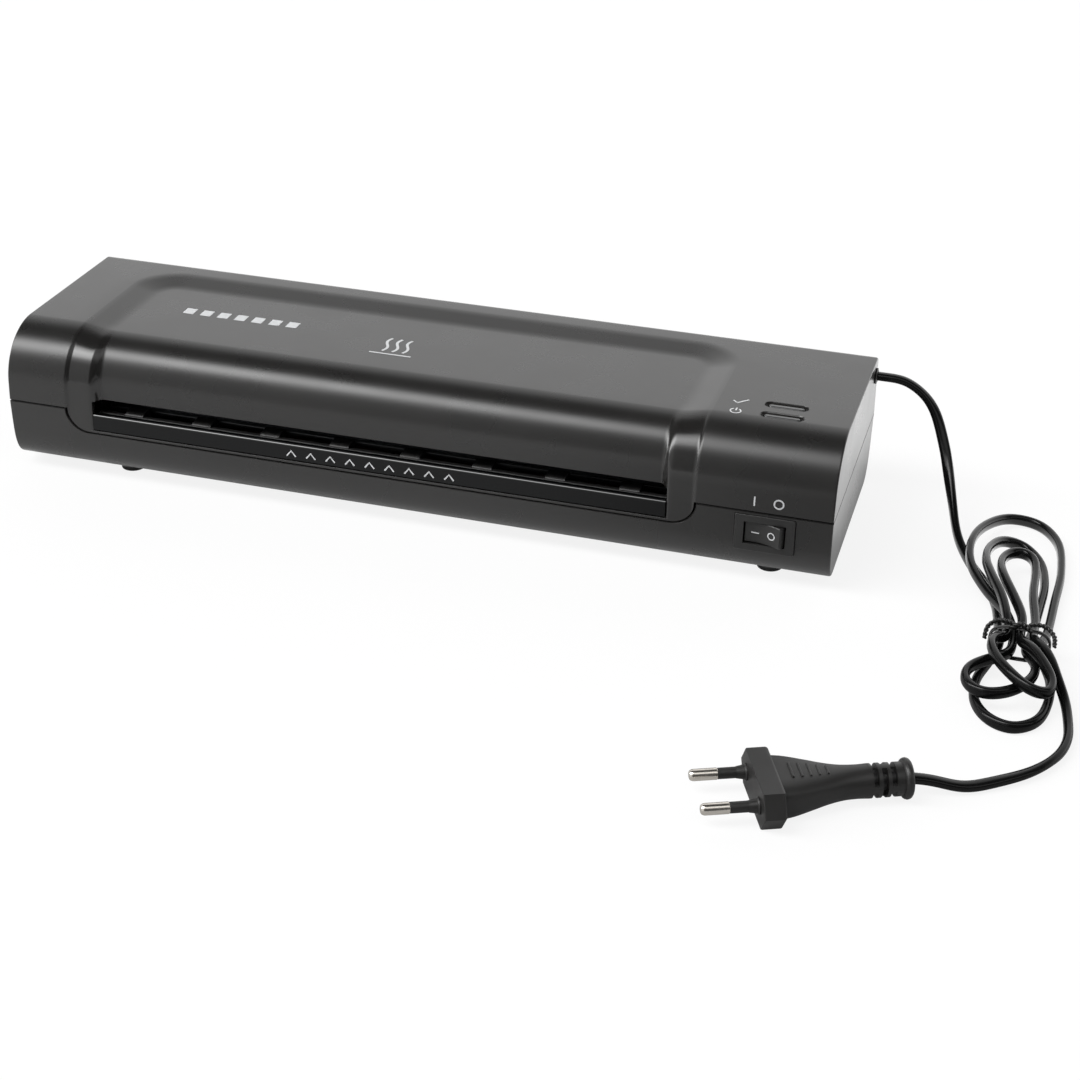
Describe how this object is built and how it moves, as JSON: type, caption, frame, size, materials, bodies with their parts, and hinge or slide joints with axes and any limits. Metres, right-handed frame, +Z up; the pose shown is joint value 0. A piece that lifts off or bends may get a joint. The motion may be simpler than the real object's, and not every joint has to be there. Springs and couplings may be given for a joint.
{
  "type": "pouch laminator",
  "caption": "Desktop A4 pouch laminator: low black plastic case with a front infeed slot, rear exit slot, heater plates, rubber rollers, rocker switch, indicator windows and a tied mains cord.",
  "frame": {"origin": "centre of the base's flat underside, so the four feet reach 4.2 mm below it", "axes": "+X along the machine towards the switch and cord end, +Y from the infeed slot (front) to the exit slot (back), +Z up"},
  "size_m": [0.4336, 0.2558, 0.0599],
  "materials": {
    "case_plastic": "satin black moulded ABS with a fine spark-eroded texture",
    "gloss_strip": "piano-black gloss",
    "switch_plastic": "satin black",
    "indicator_lens": "smoked translucent, unlit",
    "foot_rubber": "matt black",
    "cord_pvc": "semi-gloss black PVC",
    "tie_plastic": "black plastic-coated wire",
    "pin_nickel": "bright nickel plate",
    "steel": "zinc-plated steel",
    "aluminium": "dark grey hard-anodised sheet",
    "roller_silicone": "red-brown silicone rubber",
    "nylon": "natural nylon",
    "circuit_board": "green solder mask",
    "ceramic": "insulated ceramic heater strip",
    "guide_plastic": "black heat-resistant nylon"
  },
  "bodies": {
    "chassis": {"top_cover": "case_plastic", "base_case": "case_plastic", "front_trim": "gloss_strip", "switch_housing": "switch_plastic", "ready_lens": "indicator_lens", "power_lens": "indicator_lens", "indicator_board": "circuit_board", "ready_led": "indicator_lens", "power_led": "indicator_lens", "side_frame_left": "steel", "side_frame_right": "steel", "pressure_spring_left": "steel", "pressure_spring_right": "steel", "heater_plate_lower": "aluminium", "heater_plate_upper": "aluminium", "heating_element_lower": "ceramic", "heating_element_upper": "ceramic", "infeed_guide": "guide_plastic", "exit_guide": "guide_plastic", "thermostat": "guide_plastic", "thermal_fuse": "pin_nickel", "motor": "steel", "motor_post_lower": "steel", "motor_post_upper": "steel", "motor_screw_lower": "steel", "motor_screw_upper": "steel", "circuit_board": "circuit_board", "cord_grommet": "cord_pvc", "power_cord": "cord_pvc", "cord_tie": "tie_plastic", "plug_body": "cord_pvc", "plug_pin_left": "pin_nickel", "plug_pin_right": "pin_nickel", "foot_front_left": "foot_rubber", "case_screw_front_left": "steel", "foot_front_right": "foot_rubber", "case_screw_front_right": "steel", "foot_rear_left": "foot_rubber", "case_screw_rear_left": "steel", "foot_rear_right": "foot_rubber", "case_screw_rear_right": "steel", "frame_screw_left_front": "steel", "frame_screw_left_rear": "steel", "frame_screw_right_front": "steel", "frame_screw_right_rear": "steel", "lower_bush_left": "nylon", "lower_bush_right": "nylon"},
    "rocker": {"rocker": "switch_plastic"},
    "lower_roller": {"lower_roller": "roller_silicone", "lower_roller_shaft": "steel", "lower_roller_gear": "nylon"},
    "pressure_bushes": {"upper_bush_left": "nylon", "upper_bush_right": "nylon"},
    "upper_roller": {"upper_roller": "roller_silicone", "upper_roller_shaft": "steel", "upper_roller_gear": "nylon"},
    "motor_drive": {"motor_pinion": "nylon"}
  },
  "joints": [
    {"name": "rocker_tilt", "type": "hinge", "parent": "chassis", "child": "rocker", "pos_m": [0.1436, -0.0475, 0.0182], "axis": [0, 0, 1], "range_deg": [0, 22.9]},
    {"name": "lower_roller_spin", "type": "hinge", "parent": "chassis", "child": "lower_roller", "pos_m": [0, 0.016, 0.0186], "axis": [1, 0, 0], "continuous": true},
    {"name": "pressure_lift", "type": "slide", "parent": "chassis", "child": "pressure_bushes", "axis": [0, 0, 1], "range_m": [0, 0.0008], "stiffness_N_per_m": 4000, "deforming": ["pressure_spring_left", "pressure_spring_right"]},
    {"name": "upper_roller_spin", "type": "hinge", "parent": "pressure_bushes", "child": "upper_roller", "pos_m": [0, 0.016, 0.0376], "axis": [1, 0, 0], "continuous": true},
    {"name": "motor_spin", "type": "hinge", "parent": "chassis", "child": "motor_drive", "pos_m": [0.115, 0.0006, 0.0258], "axis": [1, 0, 0], "continuous": true}
  ],
  "couplings": [
    {"joint": "upper_roller_spin", "follows": "lower_roller_spin", "ratio": -1},
    {"joint": "motor_spin", "follows": "lower_roller_spin", "ratio": -1.2667}
  ]
}
